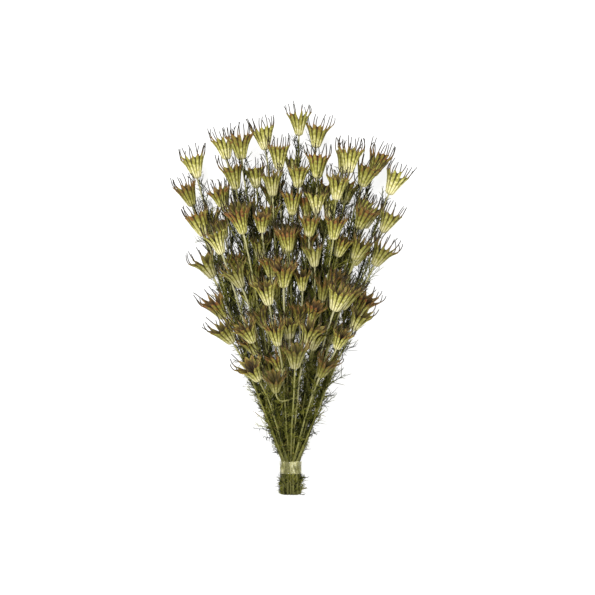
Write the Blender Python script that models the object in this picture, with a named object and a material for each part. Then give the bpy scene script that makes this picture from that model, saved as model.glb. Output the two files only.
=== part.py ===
"""A tied bunch of dried nigella seed pods, lying on a table with its heads towards +Y.

Each cut stem is one piece: its stalk, the thread leaves on it, and one or two horned pods.
The stems are laid from the table up, one row of the tie after another, and each is lifted
just far enough to lie clear of those under it. A band of clear tape holds the cut ends.
"""

import math
import random
from dataclasses import dataclass

import bmesh
import bpy
from mathutils import Matrix, Quaternion, Vector
from mathutils.bvhtree import BVHTree

MM = 0.001
SEED = 39

# The tie: a band of tape round stems that stand in rows, as close as coins
STEM_PITCH = 3.0 * MM
ROW_PITCH = STEM_PITCH * math.sin(math.pi / 3)
TIE_STEM_REACH = 11.8 * MM
BAND_RADIUS = 14.2 * MM
BAND_WALL = 0.8 * MM
BAND_LENGTH = 16 * MM
BAND_SIDES = 24
CUT_END = 33 * MM
CUT_SPREAD = 1.1

# One layer of the bunch for each row of the tie, from the table up: how far its pods stand
# from the tie, the widest lean in degrees, the share of that lean which the pods themselves
# take, and how many degrees they tip up
LAYERS = (
    (262 * MM, 13, 1.2, 2),
    (318 * MM, 18, 1.0, 0),
    (390 * MM, 17.5, 0.8, 2),
    (370 * MM, 18.5, 0.9, 4),
    (322 * MM, 19.5, 1.0, 8),
    (275 * MM, 20.5, 1.2, 13),
    (228 * MM, 21.5, 1.3, 17),
    (182 * MM, 22, 1.4, 21),
    (146 * MM, 18, 1.4, 24),
)
FIRST_LIFT = 9 * MM
LAYER_RISE = 4 * MM
EDGE_SHORTER = 0.06
REACH_SCATTER = 11 * MM
LEAN_SCATTER = 1.6

# A stalk
STEM_SIDES = 4
STEM_RADIUS = 1.15 * MM
NECK_RADIUS = 0.95 * MM
NECK_LENGTH = 1.6 * MM
NECK_BEND = 45 * MM
STRAIGHT_SHARE = 0.35
HEADING_STEP = 0.01

# A leaf is a tuft of threads on a short collar of the stalk
COLLAR = 1.6 * MM
COLLARS = (0.24, 0.50, 0.77)
THREAD_LENGTHS = (14 * MM, 32 * MM)
THREAD_LIFTS = (20, 46)
THREAD_FAN = math.radians(35)
THREAD_DRAWS = 4
OFF_ROOT, OFF_STALK = 0.03, 0.2

# A side pod grows from a face of the second collar
FORK_COLLAR = 1
FORK_LAYERS = 8
FORK_SHARE = 0.9
FORK_SHORTER = (32 * MM, 58 * MM)
FORK_ASIDE = (14 * MM, 32 * MM)
FORK_DROP = 9 * MM
FORK_BEND = 27 * MM
FORK_LEAN = 0.5
FORK_THIRD = 0.3
FORK_RINGS = (0.12, 0.5)
FORK_SIZE = 0.86

# A pod: pointed pockets grown together in a funnel, each ending in a long horn.
# Keel, groove and notch are each a height and a radius; the notch's is a share of the mouth
PODS = (6, 7, 7, 8)
SIDE_PODS = (6, 6, 7)
POD_FOOT_RADIUS = 4.2 * MM
POD_KEEL = (13.0 * MM, 8.8 * MM)
POD_GROOVE = (10.5 * MM, 6.2 * MM)
POD_NOTCH = (19.0 * MM, 0.66)
POD_HEIGHT = 26 * MM
POD_FLOOR = 9.5 * MM
POD_MOUTHS = (12.4 * MM, 15.4 * MM)
LIP_THICK = 1.4 * MM
LIP_HALF_WIDTH = 0.85 * MM
HORN_LENGTH = 14 * MM
HORN_SPLAY = 2.6 * MM
POD_TURN_SCATTER = 7
POD_SIZE_SCATTER = 0.06

# How the stems are laid
GAP = 0.22 * MM
TOUCH = 0.001 * MM
LIFT_STEP = 3 * MM
LOOSER_STEP = 0.08
DRAWS = 8
STEM_LIFTS = 34
FORK_LIFTS = 9

# The finishes of a stem, in the order of its material slots: colour and roughness
STALK, POD, LEAF = range(3)
FINISHES = (
    ("dried_stalk", (0.28, 0.31, 0.10), 0.7),
    ("dried_pod", (0.52, 0.48, 0.17), 0.6),
    ("dried_leaf", (0.11, 0.13, 0.04), 0.8),
)
TAPE = ("clear_tape", (0.72, 0.73, 0.62), 0.3)
SMOOTH_UNDER = math.radians(35)

random_draw = random.Random(SEED)


@dataclass
class Pod:
    """Where a pod stands, and what sets it apart from its neighbours."""

    foot: Vector
    axis: Vector
    spin: float
    pockets: int
    size: float
    mouth: float

    def point(self, height, radius, turn):
        away = Quaternion(self.axis, self.spin + turn) @ self.axis.orthogonal().normalized()
        return self.foot + (self.axis * height + away * radius) * self.size

    def neck(self):
        return self.foot - self.axis * NECK_LENGTH


@dataclass
class Collar:
    """A short ring on a stalk, whose side faces leaves and a side branch grow from."""

    centre: Vector
    along: Vector
    sides: list


def between(limits, share=None):
    """A value between two limits, drawn at random where no share is given."""
    share = random_draw.random() if share is None else share
    return limits[0] + (limits[1] - limits[0]) * share


def scatter(size):
    return random_draw.uniform(-size, size)


def direction(lean, pitch):
    """A unit vector that leans from +Y towards +X, and is tipped up by pitch, in radians."""
    flat = math.cos(pitch)
    return Vector((math.sin(lean) * flat, math.cos(lean) * flat, math.sin(pitch)))


def bezier(points, share):
    a, b, c, d = points
    rest = 1 - share
    return a * rest**3 + b * 3 * rest**2 * share + c * 3 * rest * share**2 + d * share**3


def heading(points, share):
    """The direction of a Bezier curve at a share of the way along it."""
    return (bezier(points, share + HEADING_STEP) - bezier(points, share - HEADING_STEP)).normalized()


def stalk_line(start, pod):
    """A stalk's Bezier points: straight out of the tie, then bent to the pod's own axis."""
    bend = start.lerp(pod.foot, STRAIGHT_SHARE)
    return start, bend, pod.foot - pod.axis * NECK_BEND, pod.foot


def fork_line(root, normal, along, pod):
    """A side branch's Bezier points: away from the stalk, then bent to the pod's own axis."""
    leaving = (along + normal * FORK_LEAN).normalized()
    bend = root + leaving * (pod.foot - root).length * FORK_THIRD
    return root, bend, pod.foot - pod.axis * FORK_BEND, pod.foot


def extrude_to(bm, face, centre, along, radius):
    """Grow the stalk's end face to a new ring, square to its direction, and return the new end."""
    face = bmesh.ops.extrude_discrete_faces(bm, faces=[face])["faces"][0]
    corners = list(face.verts)
    first = corners[0].co - face.calc_center_median()
    across = (first - along * first.dot(along)).normalized() * radius
    for number, corner in enumerate(corners):
        corner.co = centre + Quaternion(along, math.tau * number / len(corners)) @ across
    return face


def pull_spike(bm, face, tip, finish):
    """Divide a face round its centre and pull the centre out to a point."""
    poked = bmesh.ops.poke(bm, faces=[face])
    poked["verts"][0].co = tip
    for side in poked["faces"]:
        side.material_index = finish


def add_pod(bm, neck, pod):
    """Open a stalk's end face and grow the pod on it."""
    rim = list(neck.edges)
    bm.faces.remove(neck)
    half_turn = math.pi / pod.pockets
    lip_turn = LIP_HALF_WIDTH / pod.mouth
    notch_height, notch_share = POD_NOTCH
    lip_inside = pod.mouth - LIP_THICK / 2
    floor = bm.verts.new(pod.point(POD_FLOOR, 0, 0))
    feet, grooves, notches, pockets = [], [], [], []
    for number in range(pod.pockets):
        turn = 2 * half_turn * number
        seam = turn - half_turn
        feet.append(bm.verts.new(pod.point(0, POD_FOOT_RADIUS, seam)))
        grooves.append(bm.verts.new(pod.point(*POD_GROOVE, seam)))
        notches.append(bm.verts.new(pod.point(notch_height, pod.mouth * notch_share, seam)))
        pockets.append([
            bm.verts.new(pod.point(*POD_KEEL, turn)),
            bm.verts.new(pod.point(POD_HEIGHT - LIP_THICK, pod.mouth + LIP_THICK / 2, turn)),
            bm.verts.new(pod.point(POD_HEIGHT, lip_inside, turn - lip_turn)),
            bm.verts.new(pod.point(POD_HEIGHT, lip_inside, turn + lip_turn)),
        ])
    for number, (keel, lip, left, right) in enumerate(pockets):
        after = (number + 1) % pod.pockets
        foot, groove, notch = feet[number], grooves[number], notches[number]
        next_foot, next_groove, next_notch = feet[after], grooves[after], notches[after]
        for corners in (
            (foot, next_foot, keel), (foot, keel, groove), (next_foot, next_groove, keel),
            (groove, keel, notch), (keel, next_groove, next_notch),
            (notch, keel, left), (keel, lip, left), (keel, right, lip), (keel, next_notch, right),
            (floor, notch, left), (floor, left, right), (floor, right, next_notch),
        ):
            bm.faces.new(corners).material_index = POD
        tip = pod.point(POD_HEIGHT + HORN_LENGTH, pod.mouth + HORN_SPLAY, 2 * half_turn * number)
        pull_spike(bm, bm.faces.new((lip, right, left)), tip, POD)
    foot_edges = [bm.edges.get((a, b)) for a, b in zip(feet, feet[1:] + feet[:1])]
    bmesh.ops.bridge_loops(bm, edges=rim + foot_edges)


def grow_stalk(place, pod):
    """A stalk from its cut end through the tie to its pod: its mesh and its collars."""
    tie = Vector((0, 0, BAND_RADIUS))
    forward = Vector((0, 1, 0))
    half_band = forward * BAND_LENGTH / 2
    cut = tie + (place - tie) * CUT_SPREAD - forward * CUT_END
    turns = [Quaternion(forward, math.tau * n / STEM_SIDES) for n in range(STEM_SIDES)]
    bm = bmesh.new()
    corners = [bm.verts.new(cut + turn @ Vector((0, 0, STEM_RADIUS))) for turn in turns]
    end = bm.faces.new(corners)
    for centre in (place - half_band, place + half_band):
        end = extrude_to(bm, end, centre, forward, STEM_RADIUS)
    bm.faces.new(corners[::-1])
    line = stalk_line(place + half_band, pod)
    collars = []
    for share in COLLARS:
        centre, along = bezier(line, share), heading(line, share)
        radius = between((STEM_RADIUS, NECK_RADIUS), share)
        end = extrude_to(bm, end, centre, along, radius)
        end = extrude_to(bm, end, centre + along * COLLAR, along, radius)
        sides = [face for edge in end.edges for face in edge.link_faces if face is not end]
        collars.append(Collar(centre + along * COLLAR / 2, along, sides))
    end = extrude_to(bm, end, pod.neck(), pod.axis, NECK_RADIUS)
    add_pod(bm, end, pod)
    kept = {face for collar in collars for face in collar.sides}
    bmesh.ops.triangulate(bm, faces=[face for face in bm.faces if face not in kept])
    return bm, collars


def grow_fork(bm, end, line, rings, pod):
    """Grow a side branch and its pod from a face."""
    before = set(bm.faces) - {end}
    for share in rings:
        end = extrude_to(bm, end, bezier(line, share), heading(line, share), NECK_RADIUS)
    end = extrude_to(bm, end, pod.neck(), pod.axis, NECK_RADIUS)
    add_pod(bm, end, pod)
    bmesh.ops.triangulate(bm, faces=[face for face in bm.faces if face not in before])


def tree_of(bm):
    """A search tree of a mesh, made thicker by the gap that neighbours keep."""
    bm.normal_update()
    bm.verts.index_update()
    corners = [vert.co + vert.normal * GAP for vert in bm.verts]
    return BVHTree.FromPolygons(corners, [[v.index for v in face.verts] for face in bm.faces])


def spike_tree(face, tip, first_share):
    """A search tree of the spike from a face to a tip, from a share of the way out of its root."""
    near = [vert.co.lerp(tip, first_share) for vert in face.verts]
    middle = sum(near, Vector()) / len(near)
    corners = [corner + (corner - middle).normalized() * 2 * GAP for corner in near]
    sides = [(n, (n + 1) % len(near), len(near)) for n in range(len(near))]
    corners.append(tip + (tip - middle).normalized() * 2 * GAP)
    return BVHTree.FromPolygons(corners, sides)


def is_clear(tree, others):
    return not any(tree.overlap(other) for other in others)


def sunk_by(bm):
    """How far a mesh reaches below the table."""
    return -min(vert.co.z for vert in bm.verts)


def tie_places():
    """The rows of places in the tie, from the lowest up, each from left to right."""
    rows = []
    for row in range(-(len(LAYERS) // 2), len(LAYERS) // 2 + 1):
        height = row * ROW_PITCH
        offset = STEM_PITCH / 2 * (row % 2)
        room = math.sqrt(TIE_STEM_REACH**2 - height**2)
        most = int((room + offset) / STEM_PITCH)
        places = [n * STEM_PITCH - offset for n in range(-most, most + 1)]
        rows.append([Vector((x, 0, BAND_RADIUS + height)) for x in places if abs(x) <= room])
    return rows


def spot(reach, lean, height):
    """A place that far from the tie, leaning from +Y towards +X."""
    return Vector((math.sin(lean) * reach, math.cos(lean) * reach, height))


def draw_pod(foot, axis_lean, axis_pitch, counts, size):
    """A pod on that foot that points about that way, drawn at random within its scatter."""
    turned = math.radians(scatter(POD_TURN_SCATTER))
    tipped = math.radians(scatter(POD_TURN_SCATTER))
    axis = direction(axis_lean + turned, axis_pitch + tipped)
    size *= 1 + scatter(POD_SIZE_SCATTER)
    pockets = random_draw.choice(counts)
    return Pod(foot, axis, scatter(math.pi), pockets, size, between(POD_MOUTHS))


def lay_stem(place, layer, share, laid):
    """Draw a stem until one lies clear of those laid before it, higher only where it must."""
    reach, widest, pod_lean, pitch = LAYERS[layer]
    for trial in range(STEM_LIFTS * DRAWS):
        lift = trial // DRAWS
        looser = 1 + lift * LOOSER_STEP
        far = reach * (1 - EDGE_SHORTER * share**2) + scatter(REACH_SCATTER * looser)
        lean = math.radians(widest * share + scatter(LEAN_SCATTER * looser))
        foot = spot(far, lean, FIRST_LIFT + LAYER_RISE * layer + lift * LIFT_STEP)
        pod = draw_pod(foot, lean * pod_lean, math.radians(pitch), PODS, 1)
        bm, collars = grow_stalk(place, pod)
        sunk = sunk_by(bm)
        if sunk > TOUCH:
            bm.free()
            pod.foot.z += sunk
            bm, collars = grow_stalk(place, pod)
        if sunk_by(bm) <= TOUCH and is_clear(tree_of(bm), laid):
            return bm, collars, pod
        bm.free()
    raise ValueError(f"no clear place in layer {layer} at {share:.2f}")


def fork_is_clear(face, line, first_share, pod, others):
    """Whether a side branch would touch anything from that share of its line on."""
    start = bezier(line, first_share)
    trial = bmesh.new()
    root = trial.faces.new([trial.verts.new(v.co + start - line[0]) for v in face.verts])
    rings = [share for share in FORK_RINGS if share > first_share]
    grow_fork(trial, root, line, rings, pod)
    clear = sunk_by(trial) <= TOUCH and is_clear(tree_of(trial), others)
    trial.free()
    return clear


def add_fork(bm, collar, main_pod, side, laid):
    """Grow a side branch with a smaller pod on that side of a stem, where one lies clear."""
    lean = math.atan2(main_pod.foot.x, main_pod.foot.y)
    axis_lean = math.atan2(main_pod.axis.x, main_pod.axis.y)
    axis_pitch = math.asin(main_pod.axis.z)
    own = tree_of(bm)
    face = max(collar.sides, key=lambda one: one.normal.x * side)
    for trial in range(FORK_LIFTS * DRAWS):
        far = main_pod.foot.xy.length - between(FORK_SHORTER)
        aside = side * between(FORK_ASIDE) / far
        foot = spot(far, lean + aside, main_pod.foot.z - FORK_DROP + trial // DRAWS * LIFT_STEP)
        pod = draw_pod(foot, axis_lean + aside, axis_pitch, SIDE_PODS, FORK_SIZE)
        line = fork_line(face.calc_center_median(), face.normal, collar.along, pod)
        free = fork_is_clear(face, line, FORK_RINGS[0] * OFF_ROOT, pod, laid)
        if free and fork_is_clear(face, line, FORK_RINGS[0], pod, [own]):
            collar.sides = [min(collar.sides, key=lambda one: one.normal.dot(face.normal))]
            grow_fork(bm, face, line, FORK_RINGS, pod)
            return True
    return False


def add_threads(bm, collars, own, others):
    """Pull a leaf thread from each half of each collar's faces, where there is room for one."""
    count = 0
    for collar in collars:
        sides = [face for face in collar.sides if face.is_valid]
        for face in bmesh.ops.triangulate(bm, faces=sides)["faces"]:
            root = face.calc_center_median()
            aside = collar.along.cross(face.normal)
            fan = math.copysign(THREAD_FAN, (root - collar.centre).dot(aside))
            out = face.normal * math.cos(fan) + aside * math.sin(fan)
            for _ in range(THREAD_DRAWS):
                lift = math.radians(between(THREAD_LIFTS))
                grown = collar.along * math.cos(lift) + out * math.sin(lift)
                tip = root + grown * between(THREAD_LENGTHS)
                tree = spike_tree(face, tip, OFF_ROOT)
                away = spike_tree(face, tip, OFF_STALK)
                if tip.z > GAP and is_clear(away, [own]) and is_clear(tree, others):
                    pull_spike(bm, face, tip, LEAF)
                    others.append(tree)
                    count += 1
                    break
    return count


def make_material(name, colour, roughness):
    material = bpy.data.materials.new(name)
    material.use_nodes = True
    shader = material.node_tree.nodes["Principled BSDF"]
    shader.inputs["Base Color"].default_value = (*colour, 1)
    shader.inputs["Roughness"].default_value = roughness
    return material


def add_object(name, bm, materials):
    bmesh.ops.triangulate(bm, faces=bm.faces)
    bmesh.ops.recalc_face_normals(bm, faces=bm.faces)
    mesh = bpy.data.meshes.new(name)
    bm.to_mesh(mesh)
    bm.free()
    mesh.shade_smooth()
    mesh.set_sharp_from_angle(angle=SMOOTH_UNDER)
    for material in materials:
        mesh.materials.append(material)
    thing = bpy.data.objects.new(name, mesh)
    bpy.context.collection.objects.link(thing)
    return thing


def make_band():
    """The tape: a ring with a flat side down, which the bunch rests on."""
    bm = bmesh.new()
    half_turn = math.pi / BAND_SIDES
    outside = BAND_RADIUS / math.cos(half_turn)
    circle = bmesh.ops.create_circle(bm, segments=BAND_SIDES, radius=outside)["verts"]
    inner = bmesh.ops.create_circle(bm, segments=BAND_SIDES, radius=outside - BAND_WALL)["verts"]
    edges = {edge for vert in circle + inner for edge in vert.link_edges}
    ring = bmesh.ops.bridge_loops(bm, edges=list(edges))["faces"]
    upper = bmesh.ops.extrude_face_region(bm, geom=ring, use_keep_orig=True)["geom"]
    raised = [part for part in upper if isinstance(part, bmesh.types.BMVert)]
    bmesh.ops.translate(bm, verts=raised, vec=(0, 0, BAND_LENGTH))
    lay_down = Matrix.Rotation(math.pi / 2, 4, "X") @ Matrix.Rotation(half_turn, 4, "Z")
    centre = Matrix.Translation((0, BAND_LENGTH / 2, BAND_RADIUS))
    bmesh.ops.transform(bm, matrix=centre @ lay_down, verts=bm.verts)
    return bm


def main():
    for old in list(bpy.data.objects):
        bpy.data.objects.remove(old)

    laid, stems, forks = [], [], 0
    for layer, places in enumerate(tie_places()):
        for number, place in enumerate(places):
            share = 2 * number / (len(places) - 1) - 1
            bm, collars, pod = lay_stem(place, layer, share, laid)
            side = -1 if share > scatter(1) else 1
            if layer < FORK_LAYERS and random_draw.random() < FORK_SHARE:
                forks += add_fork(bm, collars[FORK_COLLAR], pod, side, laid)
            laid.append(tree_of(bm))
            stems.append((bm, collars))
    threads = 0
    leaves = []
    for number, (bm, collars) in enumerate(stems):
        others = laid[:number] + laid[number + 1 :] + leaves
        threads += add_threads(bm, collars, laid[number], others)
        leaves = others[len(laid) - 1 :]

    made = [add_object("tape_band", make_band(), [make_material(*TAPE)])]
    finishes = [make_material(*finish) for finish in FINISHES]
    for number, (bm, _) in enumerate(stems, 1):
        made.append(add_object(f"stem_{number:02d}", bm, finishes))

    corners = [vert.co for thing in made for vert in thing.data.vertices]
    low, high = (Vector([pick(c[axis] for c in corners) for axis in range(3)]) for pick in (min, max))
    middle = (low + high) / 2
    for thing in made:
        thing.data.transform(Matrix.Translation((-middle.x, -middle.y, 0)))
    print(f"{len(stems)} stems, {forks} side pods, {threads} threads")


main()
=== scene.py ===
# %% [markdown]
# # A tied bunch of dried nigella seed pods
#
# Dried nigella is cut in the field, bound by the stalks and sold as a bunch. This one has nearly
# a hundred horned pods, a mass of leaves as fine as thread, and a strip of clear tape round its
# stalks. It lies on a table with its heads towards +Y, and the camera looks down on it.
#
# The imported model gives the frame: one solid for each stem, one for the tape. Everything here is
# grown along those solids, so it stays where they are.

# %% Load the frame
import math
import random
from dataclasses import dataclass

import bmesh
import bpy
import numpy as np
from mathutils import Matrix, Vector, kdtree, noise


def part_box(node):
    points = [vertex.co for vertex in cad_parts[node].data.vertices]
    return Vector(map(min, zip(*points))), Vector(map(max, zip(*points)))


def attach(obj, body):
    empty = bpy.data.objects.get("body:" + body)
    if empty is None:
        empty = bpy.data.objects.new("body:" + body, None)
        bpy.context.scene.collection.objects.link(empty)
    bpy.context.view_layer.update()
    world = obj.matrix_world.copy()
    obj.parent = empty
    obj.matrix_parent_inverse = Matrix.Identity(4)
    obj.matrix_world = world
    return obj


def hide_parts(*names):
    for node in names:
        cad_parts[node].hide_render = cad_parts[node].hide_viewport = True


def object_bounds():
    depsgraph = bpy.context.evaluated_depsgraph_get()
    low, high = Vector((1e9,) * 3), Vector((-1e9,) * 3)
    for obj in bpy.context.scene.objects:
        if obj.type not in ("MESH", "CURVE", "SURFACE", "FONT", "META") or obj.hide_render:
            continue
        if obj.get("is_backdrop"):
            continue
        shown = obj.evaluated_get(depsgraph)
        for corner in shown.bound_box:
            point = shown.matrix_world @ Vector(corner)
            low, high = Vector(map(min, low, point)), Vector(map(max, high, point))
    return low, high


MM = 0.001
FORWARD = Vector((0, 1, 0))
UP = Vector((0, 0, 1))
draw = random.Random(31)

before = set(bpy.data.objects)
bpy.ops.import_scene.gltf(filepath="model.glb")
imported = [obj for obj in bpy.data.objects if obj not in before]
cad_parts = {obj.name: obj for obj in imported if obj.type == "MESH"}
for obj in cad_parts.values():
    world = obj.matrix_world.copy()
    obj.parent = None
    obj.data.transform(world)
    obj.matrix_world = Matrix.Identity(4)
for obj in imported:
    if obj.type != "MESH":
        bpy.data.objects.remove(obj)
cad_low, cad_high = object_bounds()
stem_names = sorted(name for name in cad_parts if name.startswith("stem_"))
print(f"{len(stem_names)} stems, in a box of", [round(side / MM, 1) for side in cad_high - cad_low])

# %% [markdown]
# ## Where each pod stands
#
# A pod of this kind is a ring of pockets grown together, open at the top. In its solid one
# corner, the floor of the mouth, is joined to every notch and every lip, so it has far more
# edges than any other: for each pocket one to a notch and two to its lip. The notches are the
# nearer ones. Together they give the pod's axis, size and turn.
#
# Reading them is better than a list of places, because it follows the solids if they change.

# %% Read a pod from its solid
FLOOR_EDGES = 15
EDGES_PER_POCKET = 3
FLOOR_HEIGHT = 9.5 * MM
LIP_HEIGHT = 26 * MM
LIP_INSET = 0.7 * MM
HORN_TOP = 40 * MM
HORN_SPLAY = 2.6 * MM
FULLER = 1.06


@dataclass
class Pod:
    """A pod's place, its turn and what sets its shape apart."""

    foot: Vector
    axis: Vector
    seam: Vector
    pockets: int
    size: float
    mouth: float

    def matrix(self):
        """From the pod's own frame, which stands on its foot, to the bunch."""
        across = self.axis.cross(self.seam)
        turned = Matrix((self.seam, across, self.axis)).transposed().to_4x4()
        return Matrix.Translation(self.foot) @ turned @ Matrix.Scale(self.size * FULLER, 4)


def read_pod(floor):
    """Measure a pod from the corner at the bottom of its mouth."""
    around = [edge.other_vert(floor).co - floor.co for edge in floor.link_edges]
    around.sort(key=lambda arm: arm.length)
    pockets = len(around) // EDGES_PER_POCKET
    notches, lips = around[:pockets], around[pockets:]
    rise = sum(lips, Vector()) / len(lips)
    size = rise.length / (LIP_HEIGHT - FLOOR_HEIGHT)
    axis = rise.normalized()
    seam = (notches[0] - axis * notches[0].dot(axis)).normalized()
    mouth = (lips[0] - rise).length / size + LIP_INSET
    return Pod(floor.co - axis * FLOOR_HEIGHT * size, axis, seam, pockets, size, mouth)


# %% [markdown]
# ## How each stalk runs
#
# A stalk goes straight through the tie, then bends over to its pod's own direction. The solids
# were built on Bezier curves, so the same rule gives the curve back from its two ends. A side
# branch leaves through one of the four sides of the stalk's middle collar: the right one is the
# side whose curve meets the branch's first ring in the solid.

# %% The lines of the stalks
tie_low, tie_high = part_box("tape_band")
TIE = (tie_low + tie_high) / 2
BAND_RADIUS = (tie_high.z - tie_low.z) / 2
BAND_LENGTH = tie_high.y - tie_low.y
CUT_END = 33 * MM
CUT_SPREAD = 1.1
ROW_PITCH = 2.6 * MM
MIDDLE_ROW = 5
STRAIGHT_SHARE = 0.35
NECK_BEND = 45 * MM
COLLARS = (0.24, 0.50, 0.77)
COLLAR = 1.6 * MM
STALK_SIDES = 4
BRANCH_AT = 0.50
BRANCH_LEAN = 0.5
BRANCH_THIRD = 0.3
BRANCH_BEND = 27 * MM
BRANCH_RING = 0.12
NECK_RADIUS = 0.95 * MM
STALK_RADIUS = 1.15 * MM
MAIN_POD_SIZE = 0.925


def bezier(points, share):
    a, b, c, d = points
    rest = 1 - share
    return a * rest**3 + b * 3 * rest**2 * share + c * 3 * rest * share**2 + d * share**3


def heading(points, share, step=0.01):
    return (bezier(points, share + step) - bezier(points, share - step)).normalized()


def nearest_corners(bm, place, count=STALK_SIDES):
    return sorted((vert.co for vert in bm.verts), key=lambda co: (co - place).length)[:count]


def branch_line(bm, line, pod):
    """The side branch's curve, from the collar side that leads to its first ring."""
    along = heading(line, BRANCH_AT)
    centre = bezier(line, BRANCH_AT)
    corners = [corner - centre for corner in nearest_corners(bm, centre)]
    best = None
    for first, second in ((n, m) for n in range(STALK_SIDES) for m in range(n)):
        side = (corners[first] + corners[second]) / 2
        if side.length < NECK_RADIUS / 2:
            # Two corners that face each other don't make a side
            continue
        root = centre + along * COLLAR / 2 + side
        leaving = (along + side.normalized() * BRANCH_LEAN).normalized()
        third = leaving * (pod.foot - root).length * BRANCH_THIRD
        curve = (root, root + third, pod.foot - pod.axis * BRANCH_BEND, pod.foot)
        ring = bezier(curve, BRANCH_RING)
        miss = max(abs((co - ring).length - NECK_RADIUS) for co in nearest_corners(bm, ring))
        if best is None or miss < best[0]:
            best = (miss, curve)
    return best


# %% [markdown]
# ## Where each leaf is
#
# The solids carry a coarse tuft of threads at three collars of each stalk. The tip of such a
# thread is a corner with just three edges, all of them long, that lead back to a collar.

# %% Read every stem
SAME_PLACE = 0.001 * MM
TIP_EDGES = 3
LONG_EDGE = 9 * MM
ROOT_REACH = 2.2 * MM


@dataclass
class Stem:
    """One stalk with all that grows on it, as its solid has it."""

    name: str
    row: int
    cut: Vector
    tied: Vector
    line: tuple
    branch: tuple
    pods: list
    threads: list


def read_threads(bm, collars):
    """The root and tip of each thread that grows from a collar."""
    found = []
    for tip in bm.verts:
        edges = tip.link_edges
        if len(edges) != TIP_EDGES or min(edge.calc_length() for edge in edges) < LONG_EDGE:
            continue
        root = sum((edge.other_vert(tip).co for edge in edges), Vector()) / TIP_EDGES
        if min((root - collar).length for collar in collars) < ROOT_REACH:
            found.append((root, tip.co.copy()))
    return found


def read_stem(name):
    """A stem from its solid, and how far its side branch misses the solid's."""
    bm = bmesh.new()
    bm.from_mesh(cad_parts[name].data)
    bmesh.ops.remove_doubles(bm, verts=bm.verts, dist=SAME_PLACE)
    pods = [read_pod(vert) for vert in bm.verts if len(vert.link_edges) >= FLOOR_EDGES]
    pods.sort(key=lambda pod: pod.size < MAIN_POD_SIZE)
    end = sorted((vert.co for vert in bm.verts), key=lambda co: co.y)[:STALK_SIDES]
    cut = sum(end, Vector()) / STALK_SIDES
    tied = TIE + (cut + FORWARD * CUT_END - TIE) / CUT_SPREAD
    start = tied + FORWARD * BAND_LENGTH / 2
    pod = pods[0]
    line = (start, start.lerp(pod.foot, STRAIGHT_SHARE), pod.foot - pod.axis * NECK_BEND, pod.foot)
    miss, branch = branch_line(bm, line, pods[1]) if len(pods) > 1 else (0, None)
    collars = [bezier(line, share) + heading(line, share) * COLLAR / 2 for share in COLLARS]
    threads = read_threads(bm, collars)
    bm.free()
    row = MIDDLE_ROW + round((tied.z - TIE.z) / ROW_PITCH)
    return Stem(name, row, cut, tied, line, branch, pods, threads), miss


read = [read_stem(name) for name in stem_names]
stems = [stem for stem, _ in read]
row_numbers = sorted({stem.row for stem in stems})
rows = {row: [stem for stem in stems if stem.row == row] for row in row_numbers}
all_pods = [pod for stem in stems for pod in stem.pods]
print(f"{len(all_pods)} pods, {sum(len(stem.threads) for stem in stems)} threads, rows {row_numbers}")
print(f"worst miss of a side branch {max(miss for _, miss in read) / MM:.3f} mm")

# %% [markdown]
# ## Growing in rings
#
# Pods, stalks, horns and leaf threads are all rings of corners, one after another. Each corner
# carries its turn round the ring in a layer of the mesh, and extruding an edge copies the layer,
# so a new ring can be put in its place without a list of which corner is which. The same layers
# stay on the finished mesh as attributes, and the materials read them to follow the surface.

# %% Rings that remember their turns


def new_bunch_mesh():
    """An empty mesh with the layers that its corners carry."""
    bm = bmesh.new()
    bm.verts.layers.float.new("turn")
    bm.verts.layers.int.new("number")
    bm.verts.layers.float_vector.new("place")
    bm.verts.layers.float.new("chance")
    return bm


def first_ring(bm, sides):
    corners = bmesh.ops.create_circle(bm, segments=sides, radius=1)["verts"]
    turn = bm.verts.layers.float["turn"]
    for corner in corners:
        corner[turn] = math.atan2(corner.co.y, corner.co.x)
    return corners, list({edge for corner in corners for edge in corner.link_edges})


def next_ring(bm, edges):
    grown = bmesh.ops.extrude_edge_only(bm, edges=edges)["geom"]
    corners = [part for part in grown if isinstance(part, bmesh.types.BMVert)]
    return corners, [part for part in grown if isinstance(part, bmesh.types.BMEdge)]


def close_ends(bm, edges):
    bmesh.ops.edgeloop_fill(bm, edges=edges)


def many_rings(bm, sides, count):
    """That many numbered rings. Each round copies those there are, so a few rounds are enough."""
    first_ring(bm, sides)
    number = bm.verts.layers.int["number"]
    made = 1
    while made < count:
        copied = [corner for corner in bm.verts if corner[number] < count - made]
        edges = list({edge for corner in copied for edge in corner.link_edges})
        for part in bmesh.ops.duplicate(bm, geom=copied + edges)["geom"]:
            if isinstance(part, bmesh.types.BMVert):
                part[number] += made
        made *= 2
    return list(bm.verts), list(bm.edges)


trial = new_bunch_mesh()
trial_corners, trial_edges = many_rings(trial, 6, 10)
print(f"ten rings of six: {len(trial_corners)} corners, {len(trial_edges)} edges")
trial.free()

# %% [markdown]
# A tube is a ring that follows a line. Thousands of threads would be slow one after another, and
# an operator takes about as long for one ring as for a thousand. So all the tubes of a stalk are
# begun together and extruded together, and each corner's number says whose line it follows.

# %% Tubes


@dataclass
class Tube:
    """A thin closed tube: its rings' centres, radii and marks, and the chance of its colour."""

    centres: list
    radii: list
    marks: list
    chance: float

    def ring(self, number):
        """A ring's centre, its two directions scaled by the radius, and its mark."""
        before = self.centres[max(number - 1, 0)]
        after = self.centres[min(number + 1, len(self.centres) - 1)]
        along = (after - before).normalized()
        aside = along.cross(UP if abs(along.z) < 0.9 else FORWARD).normalized() * self.radii[number]
        return self.centres[number], aside, aside.cross(along), self.marks[number]


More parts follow.
